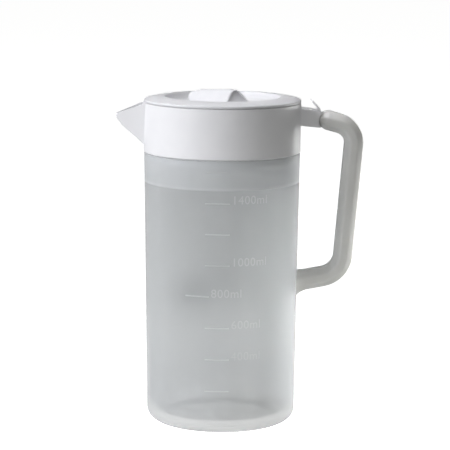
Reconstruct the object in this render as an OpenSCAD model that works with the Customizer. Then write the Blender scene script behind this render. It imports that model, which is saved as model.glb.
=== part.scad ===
// Water pitcher: translucent jug, hinged white lid with a beak spout,
// a twist disc that opens and shuts the spout, and a D-handle.
// Origin: centre of the foot ring on the standing plane. +Z up,
// handle towards +X, spout towards -X.

/* [Jug] */
// Outside diameter at the brim
jug_top_d = 112.8; // [108:0.1:116]
// Outside diameter just above the rounded lower edge
jug_base_d = 108.4; // [104:0.1:112]
// Height of the brim above the standing plane
brim_z = 197; // [190:0.5:204]
// Wall thickness
wall = 2.1; // [1.6:0.1:2.8]
// Radius of the rounded lower edge
edge_r = 9; // [6:0.5:11]
// Height of the inside floor above the standing plane
floor_z = 8.2; // [6:0.1:10]
// Thickness of the floor
floor_t = 3; // [2:0.1:4]
// Outside radius of the foot ring
foot_r = 45; // [42:0.5:46]
// Width of the foot ring
foot_w = 5; // [3:0.5:8]

/* [Graduations] */
// Number of bars
grad_count = 8; // [4:1:8]
// Volume between bars in millilitres
grad_ml = 200; // [100:50:200]
// Length of a bar round the jug in degrees
grad_deg = 18; // [8:1:24]
// Angle of the middle of the bars, 270 faces -Y
grad_at = 267; // [240:1:300]
// Height of a bar
grad_h = 1; // [0.6:0.1:1.6]
// How far a bar stands out
grad_out = 0.4; // [0.2:0.05:0.6]
// Which bar stands further round the jug, 0 for none
grad_odd = 4; // [0:1:8]
// How far round that bar stands in degrees
grad_odd_deg = -15; // [-30:1:30]

/* [Lid] */
// Outside diameter of the lid
lid_d = 113.4; // [113:0.1:114.4]
// Height of the lid's lower edge above the standing plane
lid_z0 = 197.5; // [197.3:0.1:198]
// Height of the lid's upper edge above the standing plane
lid_z1 = 233.2; // [230:0.1:236]
// Wall thickness of the lid
lid_wall = 2.4; // [2:0.1:3]
// Depth of the plug inside the jug's mouth
plug_h = 5.5; // [3:0.5:7]

/* [Spout] */
// Half width of the spout's upper edges where they leave the lid
spout_root_w = 15; // [14.4:0.1:15.4]
// Half width of the spout's keel where it leaves the lid
spout_keel_w = 7; // [6.6:0.1:7.6]
// Half width of the spout at its tip
spout_tip_w = 3; // [2.8:0.1:3.4]
// Distance of the tip from the axis
spout_x = 77; // [72:0.5:80]
// Wall of the spout
spout_wall = 1.7; // [1.4:0.1:2]

/* [Twist disc] */
// Direction of the grip bar's high end, 270 faces -Y
grip_at = 300; // [280:1:320]
// Radius of the ring's crest
crest_r = 41.5; // [40:0.5:43]
// Height of the crest above the standing plane
crest_z = 237.3; // [236.8:0.1:238]
// Height of the bowl's floor above the standing plane
bowl_z = 229.9; // [229.4:0.1:230.6]
// Distance of the bar's high end from the axis, along the ridge
grip_l = 18.5; // [18:0.1:19]
// Height of the bar's high end above the standing plane
grip_hi = 243.5; // [242:0.1:245]
// Height of the ridge where the bar nears the ring, above the standing plane
grip_lo = 240.3; // [239.8:0.1:240.8]
// Half width of the bar's foot at the high end
grip_w = 12.5; // [12:0.1:12.8]

/* [Handle] */
// Thickness of the handle seen from the side
hand_t = 13.8; // [12:0.1:14.4]
// Width of the handle
hand_w = 20; // [18:0.5:24]
// Chamfer of the handle's section seen from the side
hand_ct = 4.2; // [3:0.1:5]
// Depth of the handle's chamfer
hand_cw = 4.4; // [3:0.1:6]
// Rounding of the chamfer's edges
hand_r = 2.6; // [1.5:0.1:3]
// Radius of the upper bend
bend_up = 15; // [12:0.5:18]
// Radius of the lower bend
bend_low = 18; // [14:0.5:20]

/* [Hinge] */
// Distance of the hinge axis from the jug's axis
hinge_x = 76.4; // [76:0.1:77]
// Height of the hinge axis above the standing plane
hinge_z = 220.4; // [219.6:0.1:221]
// Radius of the hinge pin
pin_r = 1.5; // [1.2:0.1:2]
// Width of the lid's knuckle
knuckle_w = 9; // [8:0.1:10]
// Thickness of the thumb tab
tab_t = 1.5; // [1.2:0.1:2]

/* [Hidden] */
$fn = 96;

// jug: outer radius at height z, inner radius at height z
jug_slope = (jug_top_d - jug_base_d) / 2 / (brim_z - edge_r);
function jug_ro(z) = jug_base_d / 2 + jug_slope * (z - edge_r);
function jug_ri(z) = jug_ro(z) - wall;
// height of a volume of v cubic millimetres above the inside floor;
// the rounded inner edge takes the volume edge_loss
in_r = edge_r - wall + 1;
edge_loss = 2 * PI * (jug_ri(floor_z) - in_r * 0.22) * in_r * in_r * 0.2146;
function fill_z(v) = let (r0 = jug_ri(floor_z),
    r = pow(pow(r0, 3) + 3 * jug_slope * (v + edge_loss) / PI, 1 / 3))
    floor_z + (r - r0) / jug_slope;

lid_ro = lid_d / 2;
lid_ri = lid_ro - lid_wall;
ledge_z = lid_z0 + 2.2;              // top of the ring that carries the plug
sleeve_ro = lid_ri - 0.6;
sleeve_ri = sleeve_ro - 1.8;
sleeve_z0 = ledge_z + 0.7;
top_z0 = lid_z1 + 0.4;               // underside of the disc's flange
win_z0 = lid_z0 + 7.2;               // spout window in the lid
win_z1 = lid_z1 - 7;
win_w = 5.5;

// handle: centre line in the XZ plane, fork - upper corner - lower corner - root
h0 = [hinge_x, hinge_z];
h1 = [95.9, 215.1];
h2 = [87.4, 108.6];
h3 = [53, 102.1];
function dir2(a, b) = atan2(b[1] - a[1], b[0] - a[0]);
function along(p, a, d) = [p[0] + d * cos(a), p[1] + d * sin(a)];
ha = dir2(h0, h1);
hb = dir2(h1, h2);
hc = dir2(h2, h3);
tu = bend_up * tan((ha - hb) / 2);
tl = bend_low * tan((hb - hc) / 2);
u0 = along(h1, ha, -tu);
u1 = along(h1, hb, tu);
l0 = along(h2, hb, -tl);
l1 = along(h2, hc, tl);
uc = [u0[0] + bend_up * sin(ha), u0[1] - bend_up * cos(ha)];
lc = [l0[0] + bend_low * sin(hb), l0[1] - bend_low * cos(hb)];

// lug and screw at the handle's lower end
lug_x = 69;
lug_w = 10;
lug_z0 = 100.3;
lug_z1 = 106.3;
screw_x = 62.5;

// rounded rectangle, t across x and w across y, corner radius r, n steps a corner
function rrect(t, w, r, n = 8) = [
    for (q = [0:3]) for (i = [0:n])
        let (a = q * 90 + i * 90 / n,
             cx = (q == 0 || q == 3 ? 1 : -1) * (t / 2 - r),
             cy = (q < 2 ? 1 : -1) * (w / 2 - r))
        [cx + r * cos(a), cy + r * sin(a)]];
// k + 1 points round the corner p between a and b, radius r
function rnd(p, a, b, r, k) = let (u = (a - p) / norm(a - p), v = (b - p) / norm(b - p), h = acos(u * v) / 2,
    c = p + (u + v) / norm(u + v) * r / sin(h), s = p + u * r / tan(h) - c, e = p + v * r / tan(h) - c,
    a0 = atan2(s[1], s[0]), da = (atan2(e[1], e[0]) - a0 + 540) % 360 - 180)
    [for (i = [0:k]) c + r * [cos(a0 + da * i / k), sin(a0 + da * i / k)]];
// chamfered section, t across x and w across y, chamfer ct by cw, edges rounded by r
function chsec(t, w, ct, cw, r, k = 3) = let (x = t / 2, y = w / 2,
    q = [[x, y - cw], [x - ct, y], [ct - x, y], [-x, y - cw], [-x, cw - y], [ct - x, -y], [x - ct, -y], [x, cw - y]])
    [for (i = [0:7]) each rnd(q[i], q[(i + 7) % 8], q[(i + 1) % 8], r, k)];
// arc points
function arc(c, r, a0, a1, n) = [for (i = [0:n]) let (a = a0 + (a1 - a0) * i / n)
    [c[0] + r * cos(a), c[1] + r * sin(a)]];

// ---- side profile helper: a polygon in the XZ plane, w wide about y = 0
module side(pts, w) {
    translate([0, w / 2, 0]) rotate([90, 0, 0]) linear_extrude(w) polygon(pts);
}
module y_cyl(x, z, r, w) {
    translate([x, w / 2, z]) rotate([90, 0, 0]) cylinder(r = r, h = w);
}

// ---- jug
module jug_body() {
    color([0.86, 0.9, 0.92, 0.6]) difference() {
        union() {
            rotate_extrude() polygon(concat(
                [[0, floor_z - floor_t], [foot_r - foot_w - 1.2, floor_z - floor_t],
                 [foot_r - foot_w, floor_z - floor_t - 1], [foot_r - foot_w, 0], [foot_r, 0]],
                arc([jug_base_d / 2 - edge_r, edge_r], edge_r, -84, 0, 14),
                [[jug_ro(brim_z), brim_z - 0.6], [jug_ro(brim_z) - 0.6, brim_z],
                 [jug_ri(brim_z) + 0.5, brim_z], [jug_ri(brim_z), brim_z - 0.5]],
                arc([jug_ri(floor_z + in_r) - in_r, floor_z + in_r], in_r, 0, -90, 10),
                [[0, floor_z]]));
            for (i = [1:grad_count]) let (z = fill_z(i * grad_ml * 1000))
                if (z < brim_z - 3)
                    rotate([0, 0, grad_at - grad_deg / 2 + (i == grad_odd ? grad_odd_deg : 0)]) rotate_extrude(angle = grad_deg)
                        polygon([[jug_ro(z) - 0.6, z - grad_h / 2], [jug_ro(z) + grad_out * 0.6, z - grad_h / 2],
                                 [jug_ro(z) + grad_out, z - grad_h / 5], [jug_ro(z) + grad_out, z + grad_h / 5],
                                 [jug_ro(z) + grad_out * 0.6, z + grad_h / 2], [jug_ro(z) - 0.6, z + grad_h / 2]]);
            translate([jug_ro(103) - wall + 0.4, -lug_w / 2, lug_z0])
                cube([lug_x - jug_ro(103) + wall - 0.4, lug_w, lug_z1 - lug_z0]);
        }
        translate([screw_x, 0, lug_z0 - 1]) cylinder(r = 1.35, h = 6.2);
    }
}

// ---- handle
// stations of the handle's sweep: point, direction, thickness, width, scale of the chamfer
function h_st(p, a, t = hand_t, w = hand_w, f = 1) = [p, a, t, w, f];
h_path = concat(
    // nose rounded about the hinge axis, its cheeks drawn in
    [for (d = [6.75, 6.4, 5.8, 5, 4.1, 3.1, 2.1]) let (t = 2 * sqrt(pow(hand_t / 2, 2) - d * d))
        h_st(along(h0, ha, -d), ha, t, hand_w - 0.7 * (d - 1.1), t / hand_t)],
    [h_st(along(h0, ha, -1.1), ha, 2 * sqrt(pow(hand_t / 2, 2) - 1.21)), h_st(h0, ha), h_st(u0, ha)],
    [for (i = [1:9]) let (a = ha + (hb - ha) * i / 10) h_st([uc[0] - bend_up * sin(a), uc[1] + bend_up * cos(a)], a)],
    [h_st(u1, hb), h_st(l0, hb)],
    [for (i = [1:9]) let (a = hb + (hc - hb) * i / 10) h_st([lc[0] - bend_low * sin(a), lc[1] + bend_low * cos(a)], a)],
    [h_st(l1, hc)],
    // flared foot that runs into the jug's wall
    [for (e = [9, 7, 5.4, 4.2, 3.3, 2.5, 0]) let (f = 5.4 * pow(1 - e / 9, 2))
        h_st(along(h3, hc, -e), hc, hand_t + f, hand_w + f, 1 + f / 12)]);
function h_ring(s) = [for (q = chsec(s[2], s[3], hand_ct * s[4], hand_cw * s[4], hand_r * s[4]))
    [s[0][0] + q[0] * sin(s[1]), q[1], s[0][1] - q[0] * cos(s[1])]];
module sweep(st) {
    n = len(h_ring(st[0]));
    m = len(st);
    polyhedron(points = [for (s = st) each h_ring(s)], faces = concat(
        [[for (k = [0:n - 1]) k]],
        [[for (k = [n - 1:-1:0]) (m - 1) * n + k]],
        [for (i = [0:m - 2]) for (k = [0:n - 1]) [i * n + k, (i + 1) * n + k, (i + 1) * n + (k + 1) % n]],
        [for (i = [0:m - 2]) for (k = [0:n - 1]) [i * n + k, (i + 1) * n + (k + 1) % n, i * n + (k + 1) % n]]));
}
module handle() {
    color([0.93, 0.93, 0.92]) difference() {
        sweep(h_path);
        // jug wall
        cylinder(r1 = jug_ro(0) + 0.06, r2 = jug_ro(200) + 0.06, h = 200);
        // slot for the knuckle, and the shallow channel that takes the open tab
        y_cyl(hinge_x, hinge_z, hand_t / 2 + 0.9, knuckle_w + 0.8);
        translate([hinge_x, 0, hinge_z]) rotate([0, -ha, 0])
            translate([0, -knuckle_w / 2 - 0.25, hand_t / 2 - 1.8]) cube([12.6, knuckle_w + 0.5, 10]);
        // pin bore, blind at the front
        translate([hinge_x, hand_w / 2 + 1, hinge_z]) rotate([90, 0, 0]) cylinder(r = pin_r + 0.02, h = hand_w + 1 - 1.8);
        // pocket for the jug's lug, screw hole and head recess
        translate([40, -lug_w / 2 - 0.1, lug_z0 - 0.1])
            cube([lug_x + 0.3 - 40, lug_w + 0.2, lug_z1 - lug_z0 + 0.2]);
        translate([screw_x, 0, 0]) rotate_extrude()
            polygon([[0, 88], [3.3, 88], [3.3, 98.6], [1.9, 98.6], [1.9, 101.5], [0, 101.5]]);
    }
}

module handle_screw() {
    color([0.72, 0.73, 0.75]) difference() {
        translate([screw_x, 0, 0]) rotate_extrude() polygon([[0, 96.8], [1.6, 96.8], [2.6, 97.2], [3, 97.8],
            [3, 98.6], [1.75, 98.6], [1.75, 99.7], [1.29, 100], [1.29, 104.2], [0.3, 105.2], [0, 105.2]]);
        for (a = [45, 135]) translate([screw_x, 0, 96]) rotate([0, 0, a])
            translate([-1.7, -0.35, 0]) cube([3.4, 0.7, 1.9]);
    }
}

module hinge_pin() {
    color([0.9, 0.9, 0.9]) translate([hinge_x, 0, hinge_z]) rotate([90, 0, 0]) rotate_extrude()
        polygon([[0, -hand_w / 2 + 0.7], [pin_r - 0.3, -hand_w / 2 + 0.7], [pin_r, -hand_w / 2 + 1],
                 [pin_r, hand_w / 2 - 2.3], [pin_r - 0.3, hand_w / 2 - 2], [0, hand_w / 2 - 2]]);
}

// ---- lid
// spout in side view: keel from the lid's wall to the tip, then the top edge
spout_keel = [[-54.4, 200.6], [-57.4, 203.2], [-62, 207.4], [-67.6, 211.9], [-72.6, 216.3], [-75.6, 220.3]];
spout_tip = [[-spout_x, 223], [-spout_x, 224.4]];
trough_floor = [[-56.2, 205.2], [-61, 209.5], [-66.7, 214.1], [-71.4, 218.2], [-74.2, 222], [-75.4, 226]];
// one cheek's plane: upper root, tip and keel root; its outward normal and the turns that bring -Y there
spout_a = [-54.4, -spout_root_w, 233.1];
spout_b = [-spout_x, -spout_tip_w, 224.4];
spout_c = [-54.4, -spout_keel_w, 200.6];
spout_m = cross(spout_b - spout_a, spout_c - spout_a);
spout_n = spout_m / norm(spout_m);
spout_rx = asin(-spout_n[2]);
spout_rz = atan2(spout_n[0], -spout_n[1]);
// all that lies outside both cheeks, d inside their outer faces
module beyond_cheeks(d) {
    for (m = [0, 1]) mirror([0, m, 0]) translate(spout_a - d * spout_n) rotate([spout_rx, 0, spout_rz])
        translate([-60, -40, -60]) cube([120, 40, 120]);
}
module lid_shell() {
    color([0.95, 0.95, 0.95]) difference() {
        union() {
            rotate_extrude() polygon([
                [lid_ri - 3.7, lid_z0 - plug_h], [lid_ri - 2.1, lid_z0 - plug_h], [lid_ri - 0.6, lid_z0],
                [lid_ro - 0.5, lid_z0], [lid_ro, lid_z0 + 0.5], [lid_ro, lid_z1 - 0.4], [lid_ro - 0.4, lid_z1],
                [lid_ri, lid_z1], [lid_ri, ledge_z], [lid_ri - 3.7, ledge_z]]);
            difference() {
                intersection() {
                    side(concat(spout_keel, spout_tip, [[-54.4, 233.1]]), 40);
                    // rounded-off corners of the tip
                    translate([0, 0, 190]) linear_extrude(60) polygon([[-50, -22], [-50, 22], [-60, 22],
                        [-spout_x + 1, spout_tip_w + 0.1], [-spout_x, spout_tip_w * 0.6], [-spout_x, -spout_tip_w * 0.6],
                        [-spout_x + 1, -spout_tip_w - 0.1], [-60, -22]]);
                }
                beyond_cheeks(0);
            }
            // rear arm, then the tongue and the knuckle
            difference() {
                intersection() {
                    side([[54.2, 217.2], [hinge_x - 4.8, 215.4], [hinge_x - 7.3, hinge_z], [hinge_x - 6.3, 227.2], [hinge_x - 7, 227.7], [54.2, 229.9]], 30);
                    translate([50, 0, 222.75]) rotate([0, 90, 0]) linear_extrude(30) polygon(rrect(14.4, 18, 1.6, 4));
                }
                y_cyl(hinge_x, hinge_z, hand_t / 2 + 0.45, 32);
            }
            side([[hinge_x - 9.5, 216.4], [hinge_x, hinge_z - 5.6], [hinge_x, hinge_z + 5.6], [hinge_x - 9.5, 227.0]], knuckle_w);
            y_cyl(hinge_x, hinge_z, hand_t / 2 - 0.4, knuckle_w);
        }
        // pin bore and the slot for the thumb tab's root
        y_cyl(hinge_x, hinge_z, pin_r + 0.05, knuckle_w + 2);
        tab_cut();
        // seal groove in the lower edge, snap groove for the twist sleeve
        translate([0, 0, lid_z0 - 1]) difference() {
            cylinder(r = lid_ro - 1.1, h = 1.95);
            translate([0, 0, -1]) cylinder(r = lid_ri - 0.1, h = 4);
        }
        translate([0, 0, ledge_z + 1.2]) rotate_extrude()
            polygon([[lid_ri - 1, -0.6], [lid_ri, 0.3], [lid_ri + 0.55, 0.8], [lid_ri + 0.55, 1.8], [lid_ri, 2.3], [lid_ri - 1, 3]]);
        // window through the wall and the open trough of the spout
        translate([-60, -win_w, win_z0]) cube([10, 2 * win_w, win_z1 - win_z0]);
        intersection() {
            difference() {
                side(concat(trough_floor, [[-75.4, 240], [-56.2, 240]]), 38);
                beyond_cheeks(spout_wall);
            }
            difference() {
                translate([0, 0, 190]) cylinder(r = 100, h = 60);
                translate([0, 0, win_z1]) cylinder(r = lid_ro, h = 60);
                translate([0, 0, 180]) cylinder(r = lid_ri + 0.4, h = 60);
            }
        }
    }
}

module lid_seal() {
    color([0.85, 0.86, 0.86]) rotate_extrude() polygon([[lid_ri - 0.05, lid_z0 - 0.2], [lid_ro - 1.15, lid_z0 - 0.2],
        [lid_ro - 1.15, lid_z0 + 0.9], [lid_ri - 0.05, lid_z0 + 0.9]]);
}

// thumb tab in side view: root in the knuckle, short upright, blade leaning over the arm
tab_pts = [[70.9, 223.6], [69.7, 228.6], [63.4, 235.3]];
function offs(p, q, d) = let (n = norm([q[0] - p[0], q[1] - p[1]]))
    [-(q[1] - p[1]) / n * d, (q[0] - p[0]) / n * d];
tab_a = offs(tab_pts[0], tab_pts[1], tab_t / 2);
tab_b = offs(tab_pts[1], tab_pts[2], tab_t / 2);
tab_m = (tab_a + tab_b) / (1 + (tab_a * tab_b) / (tab_t * tab_t / 4)) * 1;
module thumb_tab() {
    color([0.93, 0.93, 0.93]) intersection() {
        side([tab_pts[0] - tab_a, tab_pts[1] - tab_m * 1, tab_pts[2] - tab_b * 0.7, tab_pts[2] + tab_b * 0.7,
              tab_pts[1] + tab_m * 1, tab_pts[0] + tab_a], 20);
        // rounded outline of the blade
        translate([tab_pts[1][0], 0, tab_pts[1][1]]) rotate([0, -35, 0]) translate([-20, 0, 0])
            rotate([0, 90, 0]) linear_extrude(40) polygon(rrect(18.4, knuckle_w - 0.6, 2.4, 5));
    }
}
module tab_cut() {
    side([tab_pts[0] - tab_a * 1.02, tab_pts[1] - tab_a * 1.02, tab_pts[1] + tab_a * 1.02, tab_pts[0] + tab_a * 1.02], knuckle_w - 0.5);
}

// ---- twist disc
module twist_top() {
    ring = [for (i = [0:10]) let (t = i / 10) [56.2 - (56.2 - crest_r - 1) * t, 235.4 + (crest_z - 235.4) * sin(90 * t)]];
    color([0.95, 0.95, 0.96]) difference() {
        union() {
            rotate_extrude() polygon(concat(
                [[lid_ri - 3.6, top_z0], [lid_ri - 3.6, top_z0 - 4], [lid_ri - 5.2, top_z0 - 4], [lid_ri - 5.2, top_z0 + 0.4]],
                [[crest_r + 1.9, crest_z - 1.9], [crest_r + 0.9, crest_z - 2.7], [crest_r - 0.9, bowl_z + 2.3], [crest_r - 4.5, bowl_z - 0.1],
                 [32, bowl_z - 1.4], [26, bowl_z - 1.8], [0, bowl_z - 1.8]],
                [[0, bowl_z], [26, bowl_z], [31, bowl_z + 0.4], [crest_r - 6, bowl_z + 1.5], [crest_r - 3, bowl_z + 3.2],
                 [crest_r - 1.3, bowl_z + 5.2], [crest_r - 0.7, crest_z - 0.8], [crest_r - 0.3, crest_z - 0.25], [crest_r + 0.3, crest_z - 0.02]],
                [for (i = [10:-1:0]) ring[i]],
                [[lid_ro - 0.15, 235.1], [lid_ro, 234.7], [lid_ro, top_z0 + 0.2], [lid_ro - 0.2, top_z0]]));
            rotate([0, 0, grip_at]) translate([0, 0, bowl_z]) grip_bar();
        }
        // shallow panel in the bar's high end
        rotate([0, 0, grip_at]) translate([grip_l + 6.1, 0, bowl_z]) rotate([0, -27.5, 0])
            translate([-1.3, 0, 0]) rotate([90, 0, 90]) linear_extrude(8)
                polygon([[-8.9, 4], [8.9, 4], [8, 6.1], [6.6, 8.6], [4.8, 11], [3.2, 12.7], [1.7, 13.7],
                         [0, 14.05], [-1.7, 13.7], [-3.2, 12.7], [-4.8, 11], [-6.6, 8.6], [-8, 6.1]]);
        // hollow under the bar
        rotate([0, 0, grip_at]) translate([0, 0, -2.8]) hull() {
            grip_slice(grip_l - 4.4, 0.3, 9.6, grip_hi - bowl_z - 0.4, 0.1);
            grip_slice(-grip_l + 3.6, 0.3, 6.8, grip_lo - bowl_z - 1.4, 0.1);
        }
    }
}
// grip bar along x above z = 0: an arch with a hollowed foot, leaning face at the high end,
// the low end runs into the ring. Ridge height, half width, foot height and lean at u:
g_hi = grip_hi - bowl_z;
g_lo = grip_lo - bowl_z;
function g_h(u) = u > -26 ? min(g_hi, g_hi + (g_lo - g_hi) * (17 - u) / 43) : g_lo - (g_lo - 6.9) * pow((-26 - u) / 17, 1.5);
function g_w(u) = grip_w - 0.085 * max(0, 17 - u);
function g_b(u) = u > -31 ? 0 : 6 * pow((-31 - u) / 12, 1.55);
function g_lean(u) = u > -8 ? tan(27.5) * (u + 8) / (grip_l + 14.1) : 0;
function g_arch(t) = cos(90 * t);
g_t = [1, 0.93, 0.87, 0.8, 0.7, 0.6, 0.48, 0.36, 0.24, 0.12];
g_ts = concat(g_t, [0], [for (i = [len(g_t) - 1:-1:0]) -g_t[i]]);
// stations: place and how far the section is drawn in
g_st = concat([[grip_l + 6.1, 0.9], [grip_l + 5.8, 0.3], [grip_l + 5, 0]],
    [for (u = [19, 14, 9, 4, -1, -6, -11, -16, -21, -25, -28.5, -31.5, -34, -36, -38, -40, -41.5, -43]) [u, 0]]);
function g_ring(s) = let (u = s[0], w = g_w(u) - s[1], h = g_h(u) - s[1] * 1.2, b = g_b(u), k = g_lean(u), d = u > -31 ? 0.8 : 0.25,
    yz = concat([[-g_t[0] * w, b - d]], [for (t = g_ts) [-t * w, b - 0.15 + g_arch(abs(t)) * (h - b + 0.15)]], [[g_t[0] * w, b - d]]))
    [for (q = yz) [u - k * q[1], q[0], q[1]]];
module grip_bar() {
    n = len(g_ring(g_st[0]));
    m = len(g_st);
    polyhedron(points = [for (s = g_st) each g_ring(s)], faces = concat(
        [[for (k = [0:n - 1]) k]],
        [[for (k = [n - 1:-1:0]) (m - 1) * n + k]],
        [for (i = [0:m - 2]) for (k = [0:n - 1]) [i * n + k, (i + 1) * n + k, (i + 1) * n + (k + 1) % n]],
        [for (i = [0:m - 2]) for (k = [0:n - 1]) [i * n + k, (i + 1) * n + (k + 1) % n, i * n + (k + 1) % n]]));
}
// cross-section of the hollow under the bar at x, d thick: half width w at the foot, r at the ridge, h high
module grip_slice(x, d, w, h, r) {
    a = [[1, 0], [1, 0.03], [0.88, 0.2], [0.74, 0.42], [0.6, 0.6], [0.42, 0.78], [0.27, 0.905], [0.14, 0.975]];
    translate([x, 0, bowl_z - 0.6]) rotate([90, 0, 90]) linear_extrude(d)
        polygon(concat([for (q = a) [q[0] * w + r, q[1] * (h + 0.6)]], [[0, h + 0.6]],
                       [for (i = [7:-1:0]) [-a[i][0] * w - r, a[i][1] * (h + 0.6)]]));
}
module twist_sleeve() {
    color([0.94, 0.94, 0.95]) difference() {
        rotate_extrude() polygon([
            [sleeve_ri, sleeve_z0], [sleeve_ro, sleeve_z0], [sleeve_ro, sleeve_z0 + 0.9], [lid_ri + 0.15, sleeve_z0 + 1.4],
            [lid_ri + 0.15, sleeve_z0 + 1.9], [sleeve_ro, sleeve_z0 + 2.4],
            [sleeve_ro, 228.8], [sleeve_ro - 1.7, 228.8], [sleeve_ro - 1.7, 231.2], [sleeve_ro, 231.2], [sleeve_ro, top_z0],
            [lid_ri - 3.5, top_z0], [lid_ri - 3.5, 227.8], [sleeve_ri, 226.4]]);
        // pour window under the bar's high end, strainer slots on the other side
        rotate([0, 0, grip_at]) translate([40, -7.5, win_z0 + 0.4]) cube([20, 15, win_z1 - win_z0 - 1.6]);
        for (i = [-3:3]) rotate([0, 0, grip_at + 180 + i * 3.5])
            translate([40, -0.8, win_z0 + 0.4]) cube([20, 1.6, win_z1 - win_z0 - 1.6]);
    }
}
module twist_seal() {
    color([0.85, 0.86, 0.86]) translate([0, 0, 230]) rotate_extrude() translate([lid_ri - 1.18, 0]) circle(r = 1.1, $fn = 32);
}

jug_body();
handle();
handle_screw();
hinge_pin();
lid_shell();
lid_seal();
thumb_tab();
twist_top();
twist_sleeve();
twist_seal();
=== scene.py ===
"""Water pitcher: translucent jug, hinged white lid, twist disc and handle."""

import math

import bmesh
import bpy
from mathutils import Matrix, Vector


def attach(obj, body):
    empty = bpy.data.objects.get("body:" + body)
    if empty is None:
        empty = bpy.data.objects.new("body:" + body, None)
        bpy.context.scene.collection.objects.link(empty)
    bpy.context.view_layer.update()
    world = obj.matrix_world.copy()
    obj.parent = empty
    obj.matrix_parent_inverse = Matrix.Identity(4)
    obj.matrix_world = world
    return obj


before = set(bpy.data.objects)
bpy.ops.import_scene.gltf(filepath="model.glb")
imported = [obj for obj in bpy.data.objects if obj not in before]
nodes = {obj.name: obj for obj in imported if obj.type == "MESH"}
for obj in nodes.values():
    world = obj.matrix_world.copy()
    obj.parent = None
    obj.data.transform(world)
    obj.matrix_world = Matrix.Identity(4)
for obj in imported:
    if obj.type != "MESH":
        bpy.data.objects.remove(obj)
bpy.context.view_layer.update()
scene = bpy.context.scene
MM = 0.001


# ------------------------------------------------------------------ helpers
def new_object(name, bm, material=None, smooth=True, sharp=None):
    me = bpy.data.meshes.new(name)
    bmesh.ops.recalc_face_normals(bm, faces=bm.faces)
    bm.to_mesh(me)
    bm.free()
    for p in me.polygons:
        p.use_smooth = smooth
    if smooth and sharp is not None:
        me.set_sharp_from_angle(angle=math.radians(sharp))
    ob = bpy.data.objects.new(name, me)
    scene.collection.objects.link(ob)
    if material is not None:
        me.materials.append(material)
    return ob


def lathe(bm, profile, seg=192):
    """Closed ring surface from (radius, z) pairs in mm; radius 0 makes a pole."""
    rings = []
    for r, z in profile:
        if r < 1e-6:
            rings.append([bm.verts.new((0, 0, z * MM))])
        else:
            rings.append([bm.verts.new((r * MM * math.cos(2 * math.pi * k / seg),
                                        r * MM * math.sin(2 * math.pi * k / seg), z * MM)) for k in range(seg)])
    for a, b in zip(rings, rings[1:]):
        for k in range(seg):
            k2 = (k + 1) % seg
            if len(a) == 1 and len(b) > 1:
                bm.faces.new((a[0], b[k], b[k2]))
            elif len(b) == 1 and len(a) > 1:
                bm.faces.new((a[k2], a[k], b[0]))
            elif len(a) > 1 and len(b) > 1:
                bm.faces.new((a[k], a[k2], b[k2], b[k]))
    return rings


def arc(cx, cz, r, a0, a1, n):
    return [(cx + r * math.cos(math.radians(a0 + (a1 - a0) * i / n)),
             cz + r * math.sin(math.radians(a0 + (a1 - a0) * i / n))) for i in range(n + 1)]


# ---------------------------------------------------------------- materials
def material(name):
    m = bpy.data.materials.new(name)
    m.use_nodes = True
    nt = m.node_tree
    bsdf = nt.nodes["Principled BSDF"]
    return m, nt, bsdf


def node(nt, kind, **props):
    n = nt.nodes.new(kind)
    for k, v in props.items():
        setattr(n, k, v)
    return n


def noise(nt, coord, scale, detail=3.0, rough=0.5, stretch=None):
    n = node(nt, "ShaderNodeTexNoise")
    n.inputs["Scale"].default_value = scale
    n.inputs["Detail"].default_value = detail
    n.inputs["Roughness"].default_value = rough
    if stretch:
        mp = node(nt, "ShaderNodeMapping")
        mp.inputs["Scale"].default_value = stretch
        nt.links.new(coord, mp.inputs["Vector"])
        nt.links.new(mp.outputs["Vector"], n.inputs["Vector"])
    else:
        nt.links.new(coord, n.inputs["Vector"])
    return n.outputs["Fac"]


def ramp(nt, fac, lo, hi, c0, c1):
    r = node(nt, "ShaderNodeValToRGB")
    r.color_ramp.elements[0].position = lo
    r.color_ramp.elements[1].position = hi
    r.color_ramp.elements[0].color = (*c0, 1) if len(c0) == 3 else c0
    r.color_ramp.elements[1].color = (*c1, 1) if len(c1) == 3 else c1
    nt.links.new(fac, r.inputs["Fac"])
    return r.outputs["Color"]


def map_range(nt, fac, a, b, c, d):
    n = node(nt, "ShaderNodeMapRange")
    n.inputs["From Min"].default_value = a
    n.inputs["From Max"].default_value = b
    n.inputs["To Min"].default_value = c
    n.inputs["To Max"].default_value = d
    nt.links.new(fac, n.inputs["Value"])
    return n.outputs["Result"]


def bump(nt, bsdf, height, strength, distance):
    b = node(nt, "ShaderNodeBump")
    b.inputs["Strength"].default_value = strength
    b.inputs["Distance"].default_value = distance
    nt.links.new(height, b.inputs["Height"])
    nt.links.new(b.outputs["Normal"], bsdf.inputs["Normal"])


def object_coord(nt):
    return node(nt, "ShaderNodeTexCoord").outputs["Object"]


def plastic(name, dark, light, rough, grain=0.10):
    """Moulded plastic: faint cloud in the colour, fine grain in the gloss and in the surface."""
    m, nt, b = material(name)
    co = object_coord(nt)
    cloud = noise(nt, co, 38, 3, 0.55)
    nt.links.new(ramp(nt, cloud, 0.3, 0.7, dark, light), b.inputs["Base Color"])
    grain_n = noise(nt, co, 900, 2, 0.5)
    nt.links.new(map_range(nt, grain_n, 0.3, 0.7, rough - 0.05, rough + 0.06), b.inputs["Roughness"])
    b.inputs["IOR"].default_value = 1.48
    bump(nt, b, grain_n, grain, 0.00012)
    return m


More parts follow.
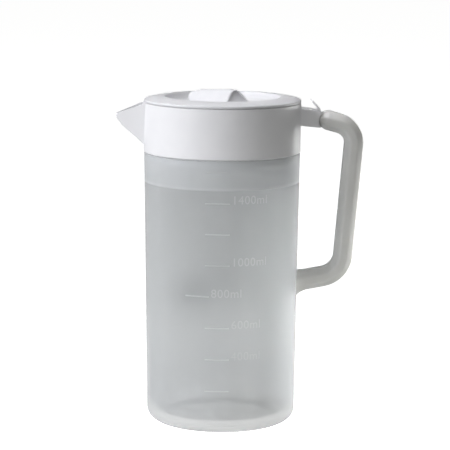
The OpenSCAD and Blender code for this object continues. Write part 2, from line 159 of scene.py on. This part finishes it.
M_LID = plastic("lid_plastic", (0.80, 0.80, 0.815), (0.845, 0.845, 0.855), 0.40)
# the disc is the lid's white plastic painted darker: painted shade that holds down its brightly lit top
M_TOP = plastic("disc_plastic_painted_shade", (0.665, 0.665, 0.685), (0.71, 0.71, 0.725), 0.46)
# the handle is the lid's white plastic painted greyer and a little olive: painted shade for the jug's shadow it sits in
M_HANDLE = plastic("handle_plastic_painted_shade", (0.64, 0.64, 0.62), (0.69, 0.69, 0.67), 0.42)
b = M_HANDLE.node_tree.nodes["Principled BSDF"]
b.inputs["Subsurface Weight"].default_value = 0.85
b.inputs["Subsurface Radius"].default_value = (1.0, 1.0, 0.95)
b.inputs["Subsurface Scale"].default_value = 0.005
M_SLEEVE = plastic("sleeve_plastic", (0.78, 0.78, 0.80), (0.82, 0.82, 0.84), 0.45)

# translucent jug
M_JUG, nt, b = material("jug_plastic")
co = object_coord(nt)
flow = noise(nt, co, 14, 4, 0.6, (1, 1, 0.35))
nt.links.new(ramp(nt, flow, 0.3, 0.72, (0.805, 0.83, 0.845), (0.865, 0.885, 0.895)), b.inputs["Base Color"])
fine = noise(nt, co, 520, 2, 0.5)
nt.links.new(map_range(nt, flow, 0.25, 0.75, 0.44, 0.54), b.inputs["Roughness"])
b.inputs["IOR"].default_value = 1.47
height = node(nt, "ShaderNodeSeparateXYZ")
nt.links.new(co, height.inputs[0])
# the wall's opacity by height: clearer where the water wets it, and more opaque towards the bottom, which is painted
# light standing in for the floor's bounce
wet_and_painted_light = node(nt, "ShaderNodeValToRGB")
wet_and_painted_light.color_ramp.interpolation = "EASE"
nt.links.new(map_range(nt, height.outputs["Z"], 0.0, 0.2, 0.0, 1.0), wet_and_painted_light.inputs["Fac"])
el = wet_and_painted_light.color_ramp.elements
el[0].position, el[0].color = 0.0, (0.25, 0.25, 0.25, 1)
el[1].position, el[1].color = 1.0, (0.31, 0.31, 0.31, 1)
# the more opaque band at 0.8835 to 0.8875 is a painted highlight along the water line
for pos, v in ((0.045, 0.25), (0.10, 0.21), (0.30, 0.15), (0.50, 0.11), (0.8785, 0.10), (0.8835, 0.38), (0.8875, 0.38), (0.8925, 0.31)):
    e = el.new(pos)
    e.color = (v, v, v, 1)
# the raised bars are thicker, so they let less through
flat = node(nt, "ShaderNodeCombineXYZ")
nt.links.new(height.outputs["X"], flat.inputs["X"])
nt.links.new(height.outputs["Y"], flat.inputs["Y"])
radius = node(nt, "ShaderNodeVectorMath", operation="LENGTH")
nt.links.new(flat.outputs[0], radius.inputs[0])
proud = node(nt, "ShaderNodeMath", operation="SUBTRACT")
nt.links.new(radius.outputs["Value"], proud.inputs[0])
nt.links.new(map_range(nt, height.outputs["Z"], 0.009, 0.197, 0.0542, 0.0564), proud.inputs[1])
thick = node(nt, "ShaderNodeMath", operation="MAXIMUM")
# the floor inside is painted clearer than the wall: painted light that lifts the shade falling on it under the lid
floor_in = node(nt, "ShaderNodeMath", operation="MULTIPLY")
nt.links.new(wet_and_painted_light.outputs["Color"], floor_in.inputs[0])
nt.links.new(map_range(nt, radius.outputs["Value"], 0.0495, 0.0515, 0.22, 1.0), floor_in.inputs[1])
nt.links.new(floor_in.outputs[0], thick.inputs[0])
nt.links.new(map_range(nt, proud.outputs[0], 0.00008, 0.00016, 0.0, 0.30), thick.inputs[1])
nt.links.new(thick.outputs[0], b.inputs["Alpha"])
bump(nt, b, fine, 0.08, 0.00015)
# light that the milky wall passes on, scattered
milk = node(nt, "ShaderNodeBsdfTranslucent")
nt.links.new(ramp(nt, flow, 0.3, 0.72, (0.775, 0.79, 0.80), (0.825, 0.835, 0.84)), milk.inputs["Color"])
both = node(nt, "ShaderNodeMixShader")
both.inputs[0].default_value = 0.22
nt.links.new(b.outputs["BSDF"], both.inputs[1])
nt.links.new(milk.outputs["BSDF"], both.inputs[2])
nt.links.new(both.outputs["Shader"], nt.nodes["Material Output"].inputs["Surface"])

# raised numerals on the jug
M_MARK, nt, b = material("mark_plastic")
co = object_coord(nt)
fine = noise(nt, co, 700, 2, 0.5)
nt.links.new(ramp(nt, fine, 0.3, 0.7, (0.93, 0.95, 0.95), (0.97, 0.985, 0.985)), b.inputs["Base Color"])
nt.links.new(map_range(nt, fine, 0.3, 0.7, 0.34, 0.44), b.inputs["Roughness"])
b.inputs["Alpha"].default_value = 0.32
b.inputs["IOR"].default_value = 1.47
bump(nt, b, fine, 0.06, 0.0001)

# water, painted dark grey and partly opaque: painted shade over the part of the jug below the water line, clearer at
# the very bottom
M_WATER, nt, b = material("water")
co = object_coord(nt)
tone = noise(nt, co, 9, 2, 0.5)
nt.links.new(ramp(nt, tone, 0.3, 0.7, (0.20, 0.235, 0.245), (0.25, 0.28, 0.29)), b.inputs["Base Color"])
nt.links.new(map_range(nt, tone, 0.3, 0.7, 0.01, 0.03), b.inputs["Roughness"])
b.inputs["IOR"].default_value = 1.333
depth = node(nt, "ShaderNodeSeparateXYZ")
nt.links.new(co, depth.inputs[0])
nt.links.new(map_range(nt, depth.outputs["Z"], 0.0084, 0.016, 0.03, 0.14), b.inputs["Alpha"])
bump(nt, b, tone, 0.02, 0.0004)
# the water top is painted pale blue-white and partly opaque: a painted reflection of its surface
M_SURFACE, nt, b = material("water_surface")
co = object_coord(nt)
tone = noise(nt, co, 22, 3, 0.5)
nt.links.new(ramp(nt, tone, 0.3, 0.7, (0.72, 0.78, 0.80), (0.79, 0.84, 0.855)), b.inputs["Base Color"])
nt.links.new(map_range(nt, tone, 0.3, 0.7, 0.015, 0.04), b.inputs["Roughness"])
b.inputs["IOR"].default_value = 1.333
b.inputs["Alpha"].default_value = 0.22
bump(nt, b, tone, 0.05, 0.0006)

# steel screw
M_STEEL, nt, b = material("screw_steel")
co = object_coord(nt)
lines = noise(nt, co, 1600, 2, 0.6, (1, 1, 0.08))
nt.links.new(ramp(nt, lines, 0.3, 0.7, (0.50, 0.50, 0.51), (0.64, 0.64, 0.65)), b.inputs["Base Color"])
nt.links.new(map_range(nt, lines, 0.3, 0.7, 0.26, 0.40), b.inputs["Roughness"])
b.inputs["Metallic"].default_value = 1.0
bump(nt, b, lines, 0.12, 0.00005)

# seal rubber
M_SEAL, nt, b = material("seal_rubber")
co = object_coord(nt)
fine = noise(nt, co, 1100, 3, 0.6)
nt.links.new(ramp(nt, fine, 0.3, 0.7, (0.66, 0.67, 0.67), (0.74, 0.75, 0.75)), b.inputs["Base Color"])
nt.links.new(map_range(nt, fine, 0.3, 0.7, 0.58, 0.72), b.inputs["Roughness"])
bump(nt, b, fine, 0.15, 0.0001)

for name, mat, slot in (
    ("jug_body", M_JUG, "jug_plastic"), ("handle", M_HANDLE, "white_plastic"), ("handle_screw", M_STEEL, "screw_steel"),
    ("hinge_pin", M_HANDLE, "white_plastic"), ("lid_shell", M_LID, "white_plastic"), ("lid_seal", M_SEAL, "seal_rubber"),
    ("thumb_tab", M_LID, "white_plastic"), ("twist_top", M_TOP, "white_plastic"), ("twist_sleeve", M_SLEEVE, "white_plastic"),
    ("twist_seal", M_SEAL, "seal_rubber"),
):
    ob = nodes[name]
    ob.data.materials.clear()
    ob.data.materials.append(mat)
    if name == "twist_top":
        ob.data.set_sharp_from_angle(angle=math.radians(58))

# -------------------------------------------------------------------- water
JUG_SLOPE = (112.8 - 108.4) / 2 / (197 - 9)


def jug_ri(z):
    return 54.2 + JUG_SLOPE * (z - 9) - 2.1


WATER_Z = 177.0
bm = bmesh.new()
in_r = 7.9
gap = 0.12
prof = [(0, 8.2 + gap), (20, 8.2 + gap), (36, 8.2 + gap)]
prof += [(x - gap * math.cos(math.radians(a)), z - gap * math.sin(math.radians(a)))
         for a, (x, z) in zip([-90 + 90 * i / 10 for i in range(11)],
                              arc(jug_ri(8.2 + in_r) - in_r, 8.2 + in_r, in_r, -90, 0, 10))]
for z in (40, 70, 100, 130, 155, 170, WATER_Z - 2):
    prof.append((jug_ri(z) - gap, z))
prof += [(jug_ri(WATER_Z + 1.4) - gap, WATER_Z + 1.4), (jug_ri(WATER_Z) - 0.45, WATER_Z + 1.0), (jug_ri(WATER_Z) - 1.1, WATER_Z + 0.42),
         (jug_ri(WATER_Z) - 2.2, WATER_Z + 0.08), (48, WATER_Z), (30, WATER_Z), (0, WATER_Z)]
lathe(bm, prof, 160)
water = new_object("water_fill", bm, M_WATER, True, 40)
water.data.materials.append(M_SURFACE)
for f in water.data.polygons:
    if f.normal.z > 0.3:
        f.material_index = 1
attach(water, "jug")

# ----------------------------------------------------------------- numerals
def jug_ro(z):
    return 54.2 + JUG_SLOPE * (z - 9)


def numeral(name, words, start, z0, tall, relief=0.22):
    """Raised lettering wrapped on the jug wall, from start (mm right of the front line) and z0 (mm)."""
    cu = bpy.data.curves.new(name, "FONT")
    cu.body = words
    cu.size = tall / 0.70
    cu.extrude = relief
    cu.resolution_u = 3
    cu.space_character = 1.06
    tmp = bpy.data.objects.new(name + "_flat", cu)
    scene.collection.objects.link(tmp)
    flat = bpy.data.meshes.new_from_object(tmp.evaluated_get(bpy.context.evaluated_depsgraph_get()))
    bpy.data.objects.remove(tmp)
    bpy.data.curves.remove(cu)
    bm = bmesh.new()
    bm.from_mesh(flat)
    bpy.data.meshes.remove(flat)
    bmesh.ops.remove_doubles(bm, verts=bm.verts, dist=1e-4)
    for v in bm.verts:
        z = z0 + v.co.y
        r = jug_ro(z) + v.co.z
        a = math.radians(-90) + (start + v.co.x) / jug_ro(z)
        v.co = (r * math.cos(a) * MM, r * math.sin(a) * MM, z * MM)
    ob = new_object(name, bm, M_MARK, False)
    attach(ob, "jug")
    return ob


def fill_z(ml):
    """Height in mm that this many millilitres reach."""
    r0 = jug_ri(8.2)
    lost = 2 * math.pi * (r0 - 0.22 * in_r) * in_r ** 2 * (1 - math.pi / 4)
    r = (r0 ** 3 + 3 * JUG_SLOPE * (ml * 1000 + lost) / math.pi) ** (1 / 3)
    return 8.2 + (r - r0) / JUG_SLOPE


for count, start in ((1400, 7.0), (1000, 7.0), (800, -7.4), (600, 7.0), (400, 7.0)):
    numeral("numeral_%d" % count, "%dml" % count, start, fill_z(count) - 0.5, 6.0)

# -------------------------------------------------------------------- floor
bm = bmesh.new()
for x, y in ((-20, -12), (20, -12), (20, 40), (-20, 40)):
    bm.verts.new((x, y, -0.0002))
bm.faces.new(bm.verts)
M_FLOOR, nt, b = material("floor_pale")
b.inputs["Base Color"].default_value = (0.80, 0.80, 0.80, 1)
b.inputs["Roughness"].default_value = 0.9
b.inputs["Specular IOR Level"].default_value = 0.0
b.inputs["Emission Color"].default_value = (1, 1, 1, 1)
b.inputs["Emission Strength"].default_value = 0.88
# the floor is white to look at and a mid grey to the light that it throws back
dim = node(nt, "ShaderNodeBsdfDiffuse")
dim.inputs["Color"].default_value = (0.64, 0.64, 0.63, 1)
painted_glow = node(nt, "ShaderNodeEmission")
painted_glow.inputs["Color"].default_value = (1.0, 1.0, 0.99, 1)
# painted pool of light: the floor seen through the jug glows, brighter close to the jug than far from it
where = node(nt, "ShaderNodeVectorMath", operation="LENGTH")
nt.links.new(object_coord(nt), where.inputs[0])
nt.links.new(map_range(nt, where.outputs["Value"], 0.04, 0.50, 0.84, 0.41), painted_glow.inputs["Strength"])
path = node(nt, "ShaderNodeLightPath")
direct = node(nt, "ShaderNodeMath", operation="LESS_THAN")
direct.inputs[1].default_value = 0.5
nt.links.new(path.outputs["Transparent Depth"], direct.inputs[0])
seen = node(nt, "ShaderNodeMixShader")
nt.links.new(direct.outputs[0], seen.inputs[0])
nt.links.new(painted_glow.outputs["Emission"], seen.inputs[1])
nt.links.new(b.outputs["BSDF"], seen.inputs[2])
mix = node(nt, "ShaderNodeMixShader")
nt.links.new(path.outputs["Is Camera Ray"], mix.inputs[0])
nt.links.new(dim.outputs["BSDF"], mix.inputs[1])
nt.links.new(seen.outputs["Shader"], mix.inputs[2])
nt.links.new(mix.outputs["Shader"], nt.nodes["Material Output"].inputs["Surface"])
floor = new_object("floor", bm, M_FLOOR, False)

# -------------------------------------------------------------------- light
world = bpy.data.worlds.new("studio")
scene.world = world
world.use_nodes = True
world.node_tree.nodes["Background"].inputs["Color"].default_value = (1.0, 1.0, 0.965, 1)
world.node_tree.nodes["Background"].inputs["Strength"].default_value = 0.128


def softbox(name, where, aim, size, size_y, power, colour=(1, 1, 1)):
    li = bpy.data.lights.new(name, "AREA")
    li.shape = "RECTANGLE"
    li.size, li.size_y = size, size_y
    li.energy = power
    li.color = colour
    ob = bpy.data.objects.new(name, li)
    ob.location = where
    ob.rotation_mode = "QUATERNION"
    ob.rotation_quaternion = (Vector(aim) - Vector(where)).to_track_quat("-Z", "Y")
    scene.collection.objects.link(ob)
    return ob


card = softbox("card", (0.50, -0.42, 0.03), (0.05, 0, 0.03), 0.30, 0.05, 0.082, (1.0, 1.0, 0.97))
card.data.spread = math.radians(36)
rim = softbox("rim", (0.50, 0.30, 0.10), (0.06, 0, 0.095), 0.14, 0.14, 0.17, (1.0, 1.0, 0.99))
rim.data.spread = math.radians(29)
softbox("top", (0.15, 0.25, 1.62), (0, 0, 0.2), 0.9, 0.9, 4.2, (1.0, 1.0, 1.0))
crown = softbox("crown", (-0.12, 0.05, 1.0), (-0.006, 0, 0.237), 0.2, 0.2, 0.054, (1.0, 1.0, 1.01))
crown.data.spread = math.radians(12)
front = softbox("front", (0.40, -1.30, 0.40), (0.075, 0, 0.222), 0.20, 0.10, 0.0065, (1.0, 1.0, 0.97))
front.data.spread = math.radians(12)
softbox("key", (-1.66, -0.80, 1.06), (0, 0, 0.14), 1.3, 0.8, 38, (0.985, 0.99, 1.03))

# ------------------------------------------------------------------- camera
EL, ROLL = math.radians(10.187), math.radians(0.398)
DIST, TARGET = 1.473, Vector((0, 0, 0.11784))
cam_data = bpy.data.cameras.new("camera")
cam_data.sensor_width = 36
cam_data.lens = 161.4
cam_data.shift_x, cam_data.shift_y = 0.0080, 0.0762
cam_data.clip_start, cam_data.clip_end = 0.05, 100
cam = bpy.data.objects.new("camera", cam_data)
fw = Vector((0, math.cos(EL), -math.sin(EL)))
rt = Vector((1, 0, 0))
up = rt.cross(fw)
x_ax = rt * math.cos(ROLL) + up * math.sin(ROLL)
y_ax = up * math.cos(ROLL) - rt * math.sin(ROLL)
cam.matrix_world = Matrix.Translation(TARGET - fw * DIST) @ Matrix((x_ax, y_ax, -fw)).transposed().to_4x4()
scene.collection.objects.link(cam)
scene.camera = cam

scene.view_settings.view_transform = "Standard"
scene.view_settings.look = "None"
